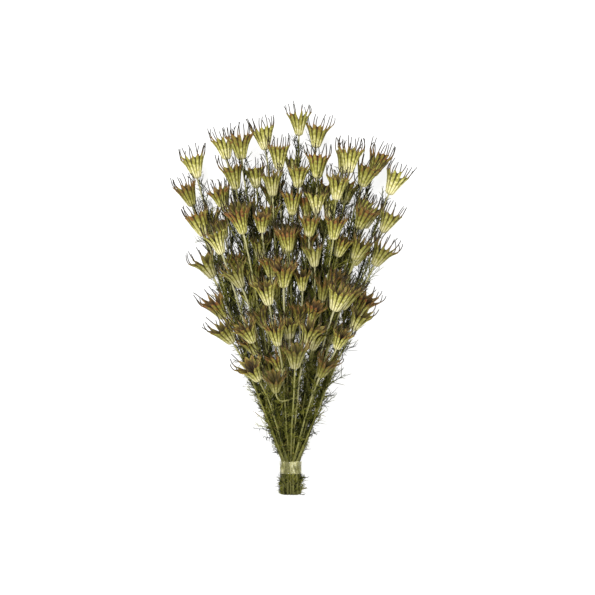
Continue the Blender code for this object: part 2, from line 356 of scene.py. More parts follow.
def grow_tubes(tubes, sides):
    """The mesh of tubes with equally many rings, which all grow at once, one ring at a time."""
    bm = new_bunch_mesh()
    turn, number = bm.verts.layers.float["turn"], bm.verts.layers.int["number"]
    place, lot = bm.verts.layers.float_vector["place"], bm.verts.layers.float["chance"]
    corners, edges = many_rings(bm, sides, len(tubes))
    ends = list(edges)
    for step in range(len(tubes[0].centres)):
        if step:
            corners, edges = next_ring(bm, edges)
        rings = [tube.ring(step) for tube in tubes]
        for corner in corners:
            centre, aside, over, mark = rings[corner[number]]
            angle = corner[turn]
            corner.co = centre + aside * math.cos(angle) + over * math.sin(angle)
            corner[place] = (mark, angle / math.tau, 0)
            corner[lot] = tubes[corner[number]].chance
    close_ends(bm, ends + edges)
    return bm


# %% [markdown]
# A finished piece is one object at the origin, with every corner in its place in the bunch. It
# rides on the bunch's body and stands for the solids of its row, which are then hidden. What
# would reach under the table is laid flat on it.

# %% From meshes to pieces


def gather(parts):
    """Join small meshes into one. An operator is far quicker on a small mesh than on a big one."""
    whole = new_bunch_mesh()
    scrap = bpy.data.meshes.new("scrap")
    for part in parts:
        part.to_mesh(scrap)
        part.free()
        whole.from_mesh(scrap)
    bpy.data.meshes.remove(scrap)
    return whole


def finish_piece(name, parts, material, stand_for):
    """Turn grown meshes into a piece that rides on the bunch and stands for its solids."""
    bm = gather(parts)
    for corner in bm.verts:
        corner.co.z = max(corner.co.z, 0)
    bmesh.ops.recalc_face_normals(bm, faces=bm.faces)
    mesh = bpy.data.meshes.new(name)
    bm.to_mesh(mesh)
    bm.free()
    mesh.shade_smooth()
    mesh.materials.append(material)
    piece = bpy.data.objects.new(name, mesh)
    bpy.context.scene.collection.objects.link(piece)
    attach(piece, "root")
    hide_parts(*stand_for)
    return piece


def triangles(piece):
    return sum(len(face.vertices) - 2 for face in piece.data.polygons)


# %% [markdown]
# ## Tools for the finishes
#
# Each finish is a Principled shader whose colour comes from a few small steps: a pattern, a ramp
# that turns it into colours, a mix of two. Colours are written as they look on a screen, from 0
# to 255, and turned into the linear values that the shader wants.

# %% Material helpers
# The colour sockets of a Mix node, which share their names with its other sockets
MIX_FIRST, MIX_SECOND, MIX_RESULT = 6, 7, 2


def paint(red, green, blue):
    """A screen colour as linear red, green, blue and alpha."""
    linear = []
    for level in (red, green, blue):
        level /= 255
        linear.append(level / 12.92 if level <= 0.04045 else ((level + 0.055) / 1.055) ** 2.4)
    return (*linear, 1)


class Finish:
    """A material under construction, with one short call for each kind of node."""

    def __init__(self, name, roughness, shine):
        self.material = bpy.data.materials.new(name)
        self.material.use_nodes = True
        self.tree = self.material.node_tree
        self.shader = self.tree.nodes["Principled BSDF"]
        self.shader.inputs["Roughness"].default_value = roughness
        self.shader.inputs["Specular IOR Level"].default_value = shine

    def node(self, kind, **inputs):
        made = self.tree.nodes.new("ShaderNode" + kind)
        for name, value in inputs.items():
            self.feed(made.inputs[name], value)
        return made

    def feed(self, socket, value):
        if isinstance(value, bpy.types.NodeSocket):
            self.tree.links.new(value, socket)
        else:
            socket.default_value = value

    def attribute(self, name):
        made = self.tree.nodes.new("ShaderNodeAttribute")
        made.attribute_name = name
        return made

    def parts(self, vector):
        return self.node("SeparateXYZ", Vector=vector).outputs

    def reckon(self, kind, first, second=0):
        made = self.tree.nodes.new("ShaderNodeMath")
        made.operation = kind
        self.feed(made.inputs[0], first)
        self.feed(made.inputs[1], second)
        return made.outputs[0]

    def plus(self, first, second):
        return self.reckon("ADD", first, second)

    def times(self, first, second):
        return self.reckon("MULTIPLY", first, second)

    def ramp(self, factor, *stops):
        made = self.node("ValToRGB", Fac=factor)
        marks = made.color_ramp.elements
        while len(marks) < len(stops):
            marks.new(1)
        for mark, (position, colour) in zip(marks, stops):
            mark.position = position
            mark.color = colour if isinstance(colour, tuple) else (colour, colour, colour, 1)
        return made.outputs["Color"]

    def mix(self, factor, first, second):
        made = self.tree.nodes.new("ShaderNodeMix")
        made.data_type = "RGBA"
        self.feed(made.inputs["Factor"], factor)
        self.feed(made.inputs[MIX_FIRST], first)
        self.feed(made.inputs[MIX_SECOND], second)
        return made.outputs[MIX_RESULT]

    def noise(self, scale, detail=3.0, vector=None):
        if vector is None:
            vector = self.tree.nodes.new("ShaderNodeTexCoord").outputs["Object"]
        return self.node("TexNoise", Vector=vector, Scale=scale, Detail=detail).outputs["Fac"]

    def stretched(self, vector, scale):
        return self.node("Mapping", Vector=vector, Scale=scale).outputs["Vector"]

    def relief(self, height, strength, depth):
        made = self.node("Bump", Strength=strength, Distance=depth, Height=height)
        self.tree.links.new(made.outputs["Normal"], self.shader.inputs["Normal"])

    def report(self):
        print(f"{self.material.name}: {len(self.tree.nodes)} nodes")


# %% [markdown]
# ## The pods' finish
#
# A dried pod is straw yellow at its foot and on its ribs, and olive between them, with dark seams
# where two pockets meet. The grooves between the ribs are darkened further by painted shade, more
# so towards the rim. Towards the rim it turns brown. No two pods are alike: some have stayed
# green, some are brown all over. The pods' corners carry how high they are, how near a rib and
# how deep inside, and one number for each pod shifts its colours. Painting by these marks is
# better than by place, because a pod may lie in any direction.

# %% Outside of the pods
MOTTLE_SCALE = 300
RIPE_SPREAD = 0.45
pod_finish = Finish("dried_pod", 0.6, 0.18)
pod_place = pod_finish.attribute("place").outputs["Vector"]
height, rib, depth = pod_finish.parts(pod_place)
pod_chance = pod_finish.attribute("chance").outputs["Fac"]
mottle = pod_finish.ramp(pod_finish.noise(MOTTLE_SCALE), (0.35, 0.0), (0.65, 1.0))
riper = pod_finish.plus(pod_finish.times(pod_chance, RIPE_SPREAD), -RIPE_SPREAD)
ripe = pod_finish.plus(height, pod_finish.plus(riper, pod_finish.times(mottle, RIPE_SPREAD)))
skin = pod_finish.ramp(
    ripe,
    (0.0, paint(222, 215, 162)),
    (0.25, paint(192, 186, 112)),
    (0.48, paint(154, 151, 70)),
    (0.68, paint(130, 124, 50)),
    (0.84, paint(132, 100, 48)),
    (1.0, paint(116, 72, 38)),
)
# The grooves' colour: the pod's own olive and dark seams, darkened further by painted shade in the hollows
# between the ribs.
groove_colour_and_shade = pod_finish.ramp(
    ripe,
    (0.0, paint(104, 96, 40)),
    (0.4, paint(66, 60, 18)),
    (1.0, paint(44, 28, 12)),
)
# The painted shade in the grooves reaches wider between the ribs towards the rim.
narrowing = pod_finish.plus(pod_finish.times(height, -0.2), 0.02)
ribs_over_shaded_grooves = pod_finish.ramp(pod_finish.plus(rib, narrowing), (0.08, 0.0), (0.42, 1.0))
outside_colour = pod_finish.mix(ribs_over_shaded_grooves, groove_colour_and_shade, skin)

# %% [markdown]
# Inside, a pod is olive or brown near the rim and almost black on its floor, where no light
# gets. A young lining and a ripe one are mixed by the pod's own number and by the same mottles.

# %% Inside of the pods
young_lining = pod_finish.ramp(
    depth,
    (0.06, paint(156, 148, 74)),
    (0.22, paint(100, 90, 38)),
    (0.5, paint(46, 38, 16)),
    (0.9, paint(18, 13, 6)),
)
ripe_lining = pod_finish.ramp(
    depth,
    (0.06, paint(134, 104, 52)),
    (0.22, paint(86, 64, 30)),
    (0.5, paint(40, 28, 13)),
    (0.9, paint(16, 10, 5)),
)
browning = pod_finish.times(pod_finish.plus(pod_chance, mottle), 0.5)
lining = pod_finish.mix(
    pod_finish.ramp(browning, (0.35, 0.0), (0.7, 1.0)), young_lining, ripe_lining
)
inner_rib = pod_finish.ramp(rib, (0.05, 0.0), (0.4, 1.0))
inside_colour = pod_finish.mix(inner_rib, paint(52, 34, 16), lining)
inward = pod_finish.ramp(depth, (0.02, 0.0), (0.06, 1.0))
walls = pod_finish.mix(inward, outside_colour, inside_colour)

# %% [markdown]
# A second number, made from the first, darkens more than half of the pods, some hardly and some
# a good deal. Horns are marked from 1 at the root to 2 at the tip, where walls stay under 1, so
# one ramp tells them apart. They fade from brown to almost black. The grain runs along the pod,
# because its noise is stretched.

# %% Shades, horns and grain of the pods
CHANCE_TURNS = 17
second_chance = pod_finish.reckon("FRACT", pod_finish.times(pod_chance, CHANCE_TURNS))
darker = pod_finish.ramp(second_chance, (0.4, 0.0), (1.0, 0.5))
shaded = pod_finish.mix(darker, walls, paint(70, 66, 22))
horn_share = pod_finish.ramp(height, (0.93, 0.0), (0.99, 1.0))
horn_colour = pod_finish.ramp(
    pod_finish.plus(height, -1),
    (0.15, paint(156, 128, 88)),
    (0.42, paint(104, 82, 48)),
    (0.62, paint(60, 49, 27)),
    (0.85, paint(40, 34, 20)),
)
pod_colour = pod_finish.mix(horn_share, shaded, horn_colour)
pod_finish.feed(pod_finish.shader.inputs["Base Color"], pod_colour)
grain = pod_finish.noise(1.0, 4.0, pod_finish.stretched(pod_place, (9, 30, 1)))
pod_roughness = pod_finish.ramp(grain, (0.3, 0.5), (0.7, 0.75))
pod_finish.feed(pod_finish.shader.inputs["Roughness"], pod_roughness)
pod_finish.relief(grain, 0.5, 0.3 * MM)
pod_finish.report()

# %% [markdown]
# ## The pods
#
# A pod opens from a narrow foot to a wide mouth. Its wall is one sheet with a closed top edge:
# rings grow up the outside from the neck, turn over at the rim and come back down inside to the
# floor. Every ring follows two profiles, one for the seams and one for the keels, and a corner
# between them bulges out like a pocket, with a rib on its keel. The solids make do with six to
# eight pockets for the sake of few faces, and a real pod has four or five more.

# %% The profiles of a pod, in millimetres
CORNERS_PER_POCKET = 6
MORE_POCKETS = (4, 5)
USUAL_MOUTH = 13.9
LOBE_TOP = 28.0
# Height and radius, from the neck to the highest lip
SEAM_PROFILE = (
    (-1.6, 0.95), (-0.9, 2.2), (0, 3.8), (1.5, 4.4), (5, 5.2), (9, 6.4), (13, 7.6), (17, 8.9),
    (21, 10.1), (28, 12.0),
)
KEEL_PROFILE = (
    (-1.6, 0.95), (-0.9, 2.8), (0, 4.5), (1.5, 5.3), (5, 6.3), (9, 7.6), (13, 8.9), (17, 10.2),
    (21, 11.6), (25, 13.4), (28, 15.2),
)


def profile(line, height, mouth):
    """A profile's radius at a height, widened towards the rim by the pod's own mouth."""
    heights, radii = zip(*line)
    return float(np.interp(height, heights, radii)) + (mouth - USUAL_MOUTH) * (height / LOBE_TOP) ** 2


def keel_share(turn, pockets):
    """0 at a seam, 1 at a keel."""
    return 1 - abs((turn / math.tau * pockets) % 1 * 2 - 1)


rim = (profile(SEAM_PROFILE, LOBE_TOP, USUAL_MOUTH), profile(KEEL_PROFILE, LOBE_TOP, USUAL_MOUTH))
print(f"a usual pod's rim runs between {rim[0]:.1f} and {rim[1]:.1f} mm from its axis")

# %% [markdown]
# The rim rises to a point at each keel. As a pod dries, it tears along some of its seams, and
# the pockets between two tears stay together as a lobe. So pockets are drawn in lobes of one to
# three, with a deep notch before each lobe, and a pod that has opened far has wider lobes.

# %% Lobes, in millimetres
LOBE_SIZES = (1, 2, 2, 3)
LOBE_LONGER = (-3.2, 1.0)
LOBE_WIDER = (-1.4, 1.4)
POCKET_LONGER = (-1.2, 0.4)
POCKET_WIDER = (-0.5, 0.5)
NOTCHES = (20.5, 24)
DEEP_NOTCHES = (15, 21)
OPEN_WIDER = 2.6
OPEN_DEEPER = 4


@dataclass
class Pocket:
    """How one pocket differs from the even pod."""

    notch: float
    longer: float
    wider: float


def draw_lobe(opening):
    """One to three pockets that stay together as a lobe, with a deep notch before them."""
    longer = draw.uniform(*LOBE_LONGER)
    wider = draw.uniform(*LOBE_WIDER) + OPEN_WIDER * opening
    lobe = []
    for _ in range(draw.choice(LOBE_SIZES)):
        notch = draw.uniform(*NOTCHES)
        own_longer = longer + draw.uniform(*POCKET_LONGER)
        lobe.append(Pocket(notch, own_longer, wider + draw.uniform(*POCKET_WIDER)))
    lobe[0].notch = draw.uniform(*DEEP_NOTCHES) - OPEN_DEEPER * opening
    return lobe


# %% [markdown]
# No pod is a copy: each is a little oval, leans a little, and has its own number of pockets. The
# even pod is worked out first, as a radius and a height for each corner, and then bent to that
# shape and put in its place, so that a horn can follow the same rule as the wall.

# %% The shape of a pod
LOBE_POINT = 1.15
BULGE = 0.6
FLARE_FROM = 0.6
OVALS = (0.88, 1.13)
LEANS = (-1.6, 1.6)
RIM_MARK = 0.9


class Wall:
    """The wall of one pod: its mesh and its own random shape."""

    def __init__(self, pod, opening):
        self.bm = new_bunch_mesh()
        self.pod = pod
        self.matrix = pod.matrix()
        self.mouth = pod.mouth / MM
        self.count = pod.pockets + draw.choice(MORE_POCKETS)
        self.chance = draw.random()
        self.pockets = []
        while len(self.pockets) < self.count:
            self.pockets += draw_lobe(opening)
        self.oval = draw.uniform(*OVALS)
        self.lean = Vector((draw.uniform(*LEANS), draw.uniform(*LEANS), 0))

    def shaped(self, point):
        """From the even pod to this one: a little oval, leaning to a side, in its place."""
        point = Vector((point.x * self.oval, point.y / self.oval, point.z))
        point += self.lean * max(0, point.z / LOBE_TOP) ** 2
        return self.matrix @ (point * MM)

    def outside(self, angle, rise):
        """Radius, height and keel share on the outside, a share of the way up to the rim."""
        share = keel_share(angle, self.count)
        turned = angle / math.tau * self.count
        pocket = self.pockets[int(turned) % self.count]
        notch = self.pockets[round(turned) % self.count].notch
        tip = LOBE_TOP + pocket.longer
        height = rise * (notch + (tip - notch) * share**LOBE_POINT if rise > 0 else LOBE_TOP)
        seam, keel = (profile(line, height, self.mouth) for line in (SEAM_PROFILE, KEEL_PROFILE))
        radius = seam + (keel - seam) * math.sin(share * math.pi / 2) ** BULGE
        radius += pocket.wider * share * max(0, height / tip - FLARE_FROM) / (1 - FLARE_FROM)
        return radius, height, share

    def put(self, corner, radius, height, share, depth):
        """Place a corner and mark it for the finish."""
        angle = corner[self.bm.verts.layers.float["turn"]]
        corner.co = self.shaped(Vector((math.cos(angle) * radius, math.sin(angle) * radius, height)))
        mark = max(0, height) / LOBE_TOP * RIM_MARK
        corner[self.bm.verts.layers.float_vector["place"]] = (mark, share, depth)
        corner[self.bm.verts.layers.float["chance"]] = self.chance


# %% [markdown]
# The wall grows ring by ring. The shares say how far up the rim each ring stands, and then how
# far down the inside. Between the keels the lining folds inwards, as the seams do on a real pod.

# %% The wall of a pod
RISING = (-0.06, -0.035, 0.0, 0.06, 0.16, 0.30, 0.45, 0.60, 0.74, 0.87, 1.0)
FALLING = (0.03, 0.2, 0.45, 0.72, 0.96)
WALL = 0.5
FLOOR = 8.5
FOLD_IN = 0.4
LINING_MARK = 0.05


def grow_wall(wall):
    bm = wall.bm
    turn = bm.verts.layers.float["turn"]
    corners, edges = first_ring(bm, CORNERS_PER_POCKET * wall.count)
    ends = list(edges)
    for number, rise in enumerate(RISING):
        if number:
            corners, edges = next_ring(bm, edges)
        for corner in corners:
            wall.put(corner, *wall.outside(corner[turn] % math.tau, rise), 0)
    for fall in FALLING:
        corners, edges = next_ring(bm, edges)
        for corner in corners:
            radius, height, share = wall.outside(corner[turn] % math.tau, 1)
            folded = 1 - (1 - share) * FOLD_IN * math.sin(fall * math.pi)
            radius = (radius - WALL) * (1 - fall) * folded
            wall.put(corner, radius, height + (FLOOR - height) * fall, share, LINING_MARK + fall)
    close_ends(bm, ends + edges)


# %% [markdown]
# Each pocket ends in a horn, the dry style of the flower. It starts on the inside of the wall,
# passes the lip and stands nearly upright, a little bowed. It is a thin tube along a Bezier
# curve, thickest just above its root, and its four sides are enough for something so thin.

# %% The horns of a pod, in millimetres
HORN_SIDES = 4
HORN_RADII = (0.50, 0.60, 0.61, 0.58, 0.54, 0.50, 0.44)
HORN_INSET = 0.9
HORN_ROOT_SHARE = 0.62
HORN_ROOT_DROP = 8
HORN_PASSES_LIP = (-1.5, 2)
HORN_REACH = (-4.5, 1.4)
HORN_SHORTER = (0, 5.5)
HORN_ASIDE = (-3.2, 3.2)
HORN_BOW_ASIDE = (-1.6, 1.6)
HORN_BOW_OUT = (-0.8, 1.6)


def grow_horn(wall, number):
    """The horn of one pocket: it starts on the inside of the wall and stands nearly upright."""
    pocket = wall.pockets[number]
    angle = math.tau * (number + 0.5) / wall.count
    out = Vector((math.cos(angle), math.sin(angle), 0))
    aside = Vector((-out.y, out.x, 0))
    lip_height = LOBE_TOP + pocket.longer
    lip_radius = profile(KEEL_PROFILE, lip_height, wall.mouth) + pocket.wider - HORN_INSET
    lip = out * lip_radius + UP * lip_height
    root = out * lip_radius * HORN_ROOT_SHARE + UP * (lip_height - HORN_ROOT_DROP)
    reach = wall.mouth + HORN_SPLAY / MM + draw.uniform(*HORN_REACH)
    top = HORN_TOP / MM - draw.uniform(*HORN_SHORTER)
    tip = out * reach + UP * top + aside * draw.uniform(*HORN_ASIDE)
    bow = aside * draw.uniform(*HORN_BOW_ASIDE) + out * draw.uniform(*HORN_BOW_OUT)
    under, over = HORN_PASSES_LIP
    line = (root, lip + UP * under, lip + UP * over + bow, tip)
    steps = [n / (len(HORN_RADII) - 1) for n in range(len(HORN_RADII))]
    centres = [wall.shaped(bezier(line, step)) for step in steps]
    radii = [radius * wall.pod.size * MM for radius in HORN_RADII]
    return Tube(centres, radii, [1 + step for step in steps], wall.chance)


# %% [markdown]
# All pods of a row become one piece. The pods on top of the heap had room to open, and those
# beneath them are pressed, so the upper rows may draw a wider opening.

# %% The pods
UPPER_FROM = 6
UPPER_OPENING = 1.4
LOWER_OPENING = 0.8


def grow_pod(pod, row):
    """The meshes of one pod and its horns."""
    widest = UPPER_OPENING if row >= UPPER_FROM else LOWER_OPENING
    wall = Wall(pod, draw.random() * widest)
    grow_wall(wall)
    return wall.bm, grow_tubes([grow_horn(wall, number) for number in range(wall.count)], HORN_SIDES)


for row, in_row in rows.items():
    solids = [stem.name for stem in in_row]
    parts = [part for stem in in_row for pod in stem.pods for part in grow_pod(pod, row)]
    piece = finish_piece(f"row_{row}_pods", parts, pod_finish.material, solids)
    print(piece.name, triangles(piece), "triangles")

# %% [markdown]
# ## The stalks' finish
#
# Just under its pod a stalk is pale straw green. Further down it darkens to olive, with the fine
# ridges that dry stalks have. The ridges are a noise stretched far along the stalk.

# %% Finish of the stalks
stalk_finish = Finish("dried_stalk", 0.62, 0.3)
stalk_place = stalk_finish.attribute("place").outputs["Vector"]
way_up, _, _ = stalk_finish.parts(stalk_place)
stalk_chance = stalk_finish.attribute("chance").outputs["Fac"]
patches = stalk_finish.noise(120)
shift = stalk_finish.plus(stalk_finish.times(stalk_chance, 0.6), stalk_finish.times(patches, 0.4))
tone = stalk_finish.plus(way_up, stalk_finish.plus(shift, -0.55))
stalk_colour = stalk_finish.ramp(
    tone,
    (0.0, paint(92, 92, 42)),
    (0.40, paint(138, 137, 70)),
    (0.75, paint(158, 155, 96)),
    (1.00, paint(186, 182, 138)),
)
ridges = stalk_finish.noise(1.0, 2.0, stalk_finish.stretched(stalk_place, (60, 24, 1)))
stalk_shade = stalk_finish.ramp(ridges, (0.35, 0.55), (0.6, 0.0))
stalk_finish.feed(
    stalk_finish.shader.inputs["Base Color"],
    stalk_finish.mix(stalk_shade, stalk_colour, paint(56, 50, 24)),
)
stalk_finish.relief(ridges, 0.6, 0.25 * MM)
stalk_finish.report()

# %% [markdown]
# ## The stalks
#
# Each stalk runs from its cut end, straight through the tie and along its curve to the pod's
# foot. A little wander, which fades out at both ends, keeps the bunch from looking combed.

# %% The stalks
RING_SIDES = 6
RINGS = 26
BRANCH_RINGS = 14
WANDER = 1.1 * MM
WANDERS_PER_METRE = 22
ROW_SEED = 3.1
OTHER_SEED = Vector((0, 7.3, 0))
NECK_SWELL = 0.5
SUNK_FOOT = 1.0 * MM


def wander(place, seed):
    """A small, smooth sideways drift that depends on the place alone."""
    at = place * WANDERS_PER_METRE + Vector((seed, 0, 0))
    return Vector((noise.noise(at), 0, noise.noise(at + OTHER_SEED))) * WANDER


def stalk_centres(stem):
    """The centres of a stalk's rings, and how far along each is."""
    half_band = FORWARD * BAND_LENGTH / 2
    centres = [stem.cut, stem.cut.lerp(stem.tied - half_band, 0.5), stem.tied - half_band, stem.tied]
    for number in range(RINGS):
        share = number / (RINGS - 1)
        place = bezier(stem.line, share)
        centres.append(place + wander(place, stem.row * ROW_SEED) * math.sin(share * math.pi))
    centres.append(stem.pods[0].foot + stem.pods[0].axis * SUNK_FOOT)
    return centres


def marks_of(centres):
    """The share of a line's length at each of its centres."""
    lengths = [0]
    for before, after in zip(centres, centres[1:]):
        lengths.append(lengths[-1] + (after - before).length)
    return [length / lengths[-1] for length in lengths]


def grow_stalk(centres, marks, foot_radius, chance):
    """A stalk that is a little thicker at its foot, and again just under its pod."""
    radii = [
        (foot_radius + (NECK_RADIUS - foot_radius) * mark) * (1 + NECK_SWELL * chance * mark**4)
        for mark in marks
    ]
    return grow_tubes([Tube(centres, radii, marks, chance)], RING_SIDES)


paths = {}
for row, in_row in rows.items():
    solids = [stem.name for stem in in_row]
    parts = []
    for stem in in_row:
        centres = stalk_centres(stem)
        marks = marks_of(centres)
        parts.append(grow_stalk(centres, marks, STALK_RADIUS, draw.random()))
        paths[stem.name] = [(centres, marks)]
        if stem.branch:
            foot = stem.pods[1].foot + stem.pods[1].axis * SUNK_FOOT
            centres = [bezier(stem.branch, n / (BRANCH_RINGS - 1)) for n in range(BRANCH_RINGS)] + [foot]
            marks = [BRANCH_AT + mark * (1 - BRANCH_AT) for mark in marks_of(centres)]
            parts.append(grow_stalk(centres, marks, NECK_RADIUS, draw.random()))
            paths[stem.name].append((centres, marks))
    piece = finish_piece(f"row_{row}_stalks", parts, stalk_finish.material, solids)
    print(piece.name, triangles(piece), "triangles")

# %% [markdown]
# ## The leaves' finish
#
# The leaves dry to a dark, dull olive, lighter at the tips, with a few that have gone brown.

# %% Finish of the leaves
leaf_finish = Finish("dried_leaf", 0.75, 0.1)
out_share, _, _ = leaf_finish.parts(leaf_finish.attribute("place").outputs["Vector"])
leaf_chance = leaf_finish.attribute("chance").outputs["Fac"]
leaf_tone = leaf_finish.plus(leaf_finish.times(out_share, 0.2), leaf_finish.times(leaf_chance, 0.84))
leaf_colour = leaf_finish.ramp(
    leaf_tone,
    (0.0, paint(14, 16, 4)),
    (0.35, paint(40, 44, 11)),
    (0.6, paint(90, 93, 28)),
    (0.85, paint(138, 137, 54)),
    (0.93, paint(164, 160, 92)),
    (1.0, paint(124, 94, 42)),
)
leaf_finish.feed(leaf_finish.shader.inputs["Base Color"], leaf_colour)
leaf_finish.relief(leaf_finish.noise(900, 2.0), 0.4, 0.15 * MM)
leaf_finish.report()

# %% [markdown]
# ## The leaves
#
# A nigella leaf is cut into threads, and a dry one curls up. Each leaf here is a main thread
# with side threads along it, all of them thin three-sided tubes of three rings, because there
# are tens of thousands. A thread that would pass through the table, the tape or the plane of the
# cut is held back there, as a real leaf is.

# %% What holds a thread back
TABLE_GAP = 0.4 * MM
UNDER_TAPE = 1.3 * MM
TAPE_SHARE = 0.55


def held(place):
    """Where the table, the cut and the tape leave a leaf that would pass through them."""
    place = Vector((place.x, max(place.y, cad_low.y), max(place.z, TABLE_GAP)))
    aside = Vector((place.x - TIE.x, 0, place.z - TIE.z))
    room = BAND_RADIUS - UNDER_TAPE
    if abs(place.y - TIE.y) < BAND_LENGTH * TAPE_SHARE and aside.length > room:
        place -= aside * (1 - room / aside.length)
    return place


low_place = TIE - UP * BAND_RADIUS
print("under the tape a thread is lifted by", round((held(low_place) - low_place).z / MM, 2), "mm")

# %% [markdown]
# A thread leaves its root in one direction and bends off evenly, so its line is a parabola. The
# side threads start along the main one, spread out from it and are shorter towards its tip.

# %% A leaf of threads
THREAD_SIDES = 3
THREAD_RINGS = (0, 0.5, 1)
THREAD_TAPER = (1, 0.9, 0.4)
SHORTEST_WAY = 0.1
MAIN_BENDS = (0.2, 1)
SIDE_THREADS = 7
SIDE_SLIMMER = 0.82
SIDE_FROM, SIDE_SPAN = 0.12, 0.8
SIDE_SPREADS = (0.4, 1.0)
SIDE_LENGTHS = (0.35, 0.65)
SIDE_SHORTENING = 0.4
SIDE_BENDS = (0.4, 1.3)


@dataclass
class Thread:
    """A thin curl from a root."""

    root: Vector
    way: Vector
    bend: Vector
    length: float
    radius: float
    chance: float

    def point(self, share):
        return held(self.root + (self.way + self.bend * share) * self.length * share)

    def tube(self):
        centres = [self.point(share) for share in THREAD_RINGS]
        return Tube(centres, [self.radius * taper for taper in THREAD_TAPER], THREAD_RINGS, self.chance)


def any_way():
    """A direction drawn at random."""
    while True:
        way = Vector([draw.uniform(-1, 1) for _ in range(3)])
        if SHORTEST_WAY < way.length < 1:
            return way.normalized()


def leaf_threads(root, way, length, radius, curl, lightest_under_shade=1.0):
    """A main thread and the side threads along it."""
    # A leaf's colour chance, held low in the deep rows as painted shade.
    chance = draw.random() * lightest_under_shade
    main = Thread(root, way, any_way() * draw.uniform(*MAIN_BENDS) * curl, length, radius, chance)
    threads = [main]
    for number in range(SIDE_THREADS):
        share = SIDE_FROM + SIDE_SPAN * number / SIDE_THREADS
        side_way = (way + any_way() * draw.uniform(*SIDE_SPREADS)).normalized()
        side_length = length * draw.uniform(*SIDE_LENGTHS) * (1 - share * SIDE_SHORTENING)
        bend = any_way() * draw.uniform(*SIDE_BENDS) * curl
        threads.append(Thread(main.point(share), side_way, bend, side_length, radius * SIDE_SLIMMER, chance))
    return threads


# %% [markdown]
# Leaves don't grow through pods. A tree of the pods' middles finds the pod nearest to a place at
# once, and a thread whose middle or tip is too close to one is left out.

# %% Which threads miss the pods
POD_CLEARANCE = 11 * MM
pod_tree = kdtree.KDTree(len(all_pods))
for number, pod in enumerate(all_pods):
    pod_tree.insert(pod.foot + pod.axis * LIP_HEIGHT / 2 * pod.size, number)
pod_tree.balance()
print(f"threads keep {POD_CLEARANCE / MM:.0f} mm from the middles of {len(all_pods)} pods")


def misses_pods(thread):
    return all(pod_tree.find(thread.point(share))[2] > POD_CLEARANCE for share in (0.5, 1))


# %% [markdown]
# The leaves stand thick below halfway and thinly above that, so the bunch is cut into zones by
# the height over the tie. In each a leaf has its own step to the next one, its lengths and its
# curl. At the edges of the bunch most leaves turn inwards, which keeps its outline clean.

# %% How leaves stand, zone by zone
BARE_NECK = 13 * MM
LEAF_RADIUS = 0.4 * MM
COARSE_RADIUS = 0.48 * MM
COARSE_ROWS = 4
UPPER_ROWS = 6
UNDERSIDE_SHARE = 0.85
INNER_HALF = 8 * MM
OUTWARD_SHARE = 0.38
TUFT_SHARE = 0.8
TUFT_CURL = 0.6
# How light the leaves of the deep rows may be: their colours are held dark as painted shade.
DEEP_SHADE_LIGHTEST = 0.6
LEAST_LIFT = 8
STEP_SCATTER = (0.5, 1.5)


@dataclass
class Zone:
    """How the leaves stand up to a height over the tie."""

    top: float
    step: float
    shortest: float
    longest: float
    widest: float
    curl: float
    turned_in: float


ZONES = (
    Zone(-8 * MM, 2.0 * MM, 5 * MM, 10 * MM, 55, 1.3, 0.4),
    Zone(10 * MM, 4.0 * MM, 5 * MM, 10 * MM, 30, 0.5, 0),
    Zone(60 * MM, 3.0 * MM, 5 * MM, 9 * MM, 50, 1.8, 0.85),
    Zone(150 * MM, 3.4 * MM, 7 * MM, 12 * MM, 46, 1.5, 0.88),
    Zone(240 * MM, 3.6 * MM, 13 * MM, 24 * MM, 30, 0.5, 0.9),
    Zone(500 * MM, 5.2 * MM, 16 * MM, 34 * MM, 24, 0.4, 0.9),
)
print(len(ZONES), "zones, with a leaf every", [round(zone.step / MM, 1) for zone in ZONES], "mm")

# %% [markdown]
# Each stalk is walked from its cut end to just under its pod, and a leaf grows at every step.
# Leaves deep in the bunch are seen only in the gaps, so they are coarse, and their colours are
# held dark as painted shade. Those of the upper rows mostly hang under their stalks, which leaves
# the stalks in sight.

# %% Leaves along a stalk


def point_along(path, mark):
    """A stalk's place and direction at a share of its length."""
    centres, marks = path
    number = next((n for n in range(1, len(marks)) if mark <= marks[n]), len(marks) - 1)
    share = (mark - marks[number - 1]) / (marks[number] - marks[number - 1])
    along = (centres[number] - centres[number - 1]).normalized()
    return centres[number - 1].lerp(centres[number], share), along


def leaves_along(path, row):
    """Leaves from a stalk's cut end to its bare neck."""
    centres, marks = path
    # Deep rows get thicker threads, and colours held dark as painted shade.
    radius, lightest_under_shade = (COARSE_RADIUS, DEEP_SHADE_LIGHTEST) if row <= COARSE_ROWS else (LEAF_RADIUS, 1)
    length = sum((after - before).length for before, after in zip(centres, centres[1:]))
    far = 0
    threads = []
    while far < length - BARE_NECK:
        root, along = point_along(path, marks[0] + (marks[-1] - marks[0]) * far / length)
        over_tie = root.y - TIE.y
        zone = next(zone for zone in ZONES if over_tie < zone.top)
        out = any_way()
        if row >= UPPER_ROWS and draw.random() < UNDERSIDE_SHARE:
            out.z = -abs(out.z)
        beside = root.x - TIE.x
        if abs(beside) > INNER_HALF and draw.random() < zone.turned_in:
            out.x = -math.copysign(out.x, beside)
        lift = math.radians(draw.uniform(LEAST_LIFT, zone.widest))
        way = (along * math.cos(lift) + out * math.sin(lift)).normalized()
        outward = over_tie > 0 and out.x * beside > 0
        leaf_length = draw.uniform(zone.shortest, zone.longest) * (OUTWARD_SHARE if outward else 1)
        threads += leaf_threads(root, way, leaf_length, radius, zone.curl, lightest_under_shade)
        far += zone.step * draw.uniform(*STEP_SCATTER)
    return threads


# %% [markdown]
# A few sprigs have slipped out of the bunch and hang at its sides. Each grows from the outermost
# stalk at its height, so it isn't cut off from the rest.

# %% The sprigs
SPRIG_RADIUS = 0.5 * MM
SPRIG_RISES = (-0.1, 0.3)
SAME_HEIGHT = 8 * MM
